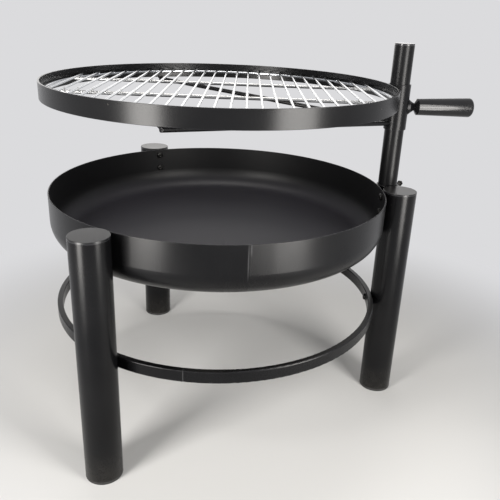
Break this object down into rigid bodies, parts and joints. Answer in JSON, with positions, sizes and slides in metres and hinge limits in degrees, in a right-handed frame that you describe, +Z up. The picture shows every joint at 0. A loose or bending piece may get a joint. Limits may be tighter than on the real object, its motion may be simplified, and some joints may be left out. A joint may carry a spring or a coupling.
{
  "type": "fire bowl grill",
  "caption": "Shallow steel fire bowl on tube legs, with a round wire cooking grate on a side post that slides up and down and swings clear of the fire.",
  "frame": {"origin": "on the floor, under the middle of the whole object's box", "axes": "+X from the bowl's axis towards the post, +Z up, +Y towards the rear leg"},
  "size_m": [0.7622, 0.6378, 0.67],
  "materials": {
    "bowl_paint": "satin black heat-resistant powder coat",
    "ring_paint": "satin black heat-resistant powder coat",
    "leg_paint": "satin black heat-resistant powder coat",
    "cap_paint": "satin black heat-resistant powder coat",
    "socket_paint": "satin black heat-resistant powder coat",
    "weld_paint": "satin black heat-resistant powder coat",
    "post_paint": "satin black heat-resistant powder coat",
    "sleeve_paint": "satin black heat-resistant powder coat",
    "boss_paint": "satin black heat-resistant powder coat",
    "hoop_paint": "satin black heat-resistant powder coat",
    "strut_paint": "satin black heat-resistant powder coat",
    "bolt_black": "black oxide",
    "screw_black": "black oxide",
    "insert_steel": "zinc plated",
    "stud_steel": "dark plated thread",
    "pad_brass": "plain",
    "foot_plastic": "moulded, matt",
    "post_cap_plastic": "moulded, satin",
    "grip_gloss": "gloss black",
    "grid_chrome": "bright chrome plate"
  },
  "bodies": {
    "frame": {"bowl": "bowl_paint", "leg_post": "leg_paint", "leg_rear": "leg_paint", "leg_front": "leg_paint", "leg_cap_post": "cap_paint", "leg_cap_rear": "cap_paint", "leg_cap_front": "cap_paint", "foot_post": "foot_plastic", "foot_rear": "foot_plastic", "foot_front": "foot_plastic", "base_ring": "ring_paint", "bowl_bolts": "bolt_black", "ring_bolts": "bolt_black", "leg_inserts": "insert_steel", "socket_tube": "socket_paint", "socket_floor": "socket_paint", "socket_welds": "weld_paint", "lock_boss": "socket_paint"},
    "lock_pad": {"lock_pad": "pad_brass"},
    "lock_screw": {"lock_screw": "screw_black"},
    "post": {"post_tube": "post_paint", "post_cap": "post_cap_plastic"},
    "carriage": {"sleeve": "sleeve_paint", "clamp_boss": "boss_paint", "hoop": "hoop_paint", "hoop_welds": "weld_paint", "strut_front": "strut_paint", "strut_rear": "strut_paint", "grid_tabs": "strut_paint"},
    "clamp_pad": {"clamp_pad": "pad_brass"},
    "clamp_handle": {"clamp_stud": "stud_steel", "grip": "grip_gloss"},
    "grid": {"grid_rim": "grid_chrome", "grid_wires": "grid_chrome", "grid_crosswires": "grid_chrome"}
  },
  "joints": [
    {"name": "post_swing", "type": "hinge", "parent": "frame", "child": "post", "pos_m": [0.2391, -0.01892, 0.416], "axis": [0, 0, 1], "continuous": true},
    {"name": "height_slide", "type": "slide", "parent": "post", "child": "carriage", "axis": [0, 0, 1], "range_m": [-0.1, 0.065]},
    {"name": "clamp_pad_slide", "type": "slide", "parent": "carriage", "child": "clamp_pad", "axis": [1, 0, 0], "range_m": [0, 0.0015]},
    {"name": "handle_turn", "type": "hinge", "parent": "clamp_pad", "child": "clamp_handle", "pos_m": [0.2391, -0.01892, 0.561], "axis": [1, 0, 0], "range_deg": [0, 360]},
    {"name": "lock_pad_slide", "type": "slide", "parent": "frame", "child": "lock_pad", "axis": [0.766, 0.6428, 0], "range_m": [0, 0.001]},
    {"name": "lock_turn", "type": "hinge", "parent": "lock_pad", "child": "lock_screw", "pos_m": [0.2391, -0.01892, 0.408], "axis": [0.766, 0.6428, 0], "range_deg": [0, 360]},
    {"name": "grid_lift", "type": "slide", "parent": "carriage", "child": "grid", "axis": [0, 0, 1], "range_m": [0, 0.06]}
  ],
  "couplings": [
    {"joint": "handle_turn", "follows": "clamp_pad_slide", "rad_per_m": 4188.7},
    {"joint": "lock_turn", "follows": "lock_pad_slide", "rad_per_m": 6283.1}
  ]
}
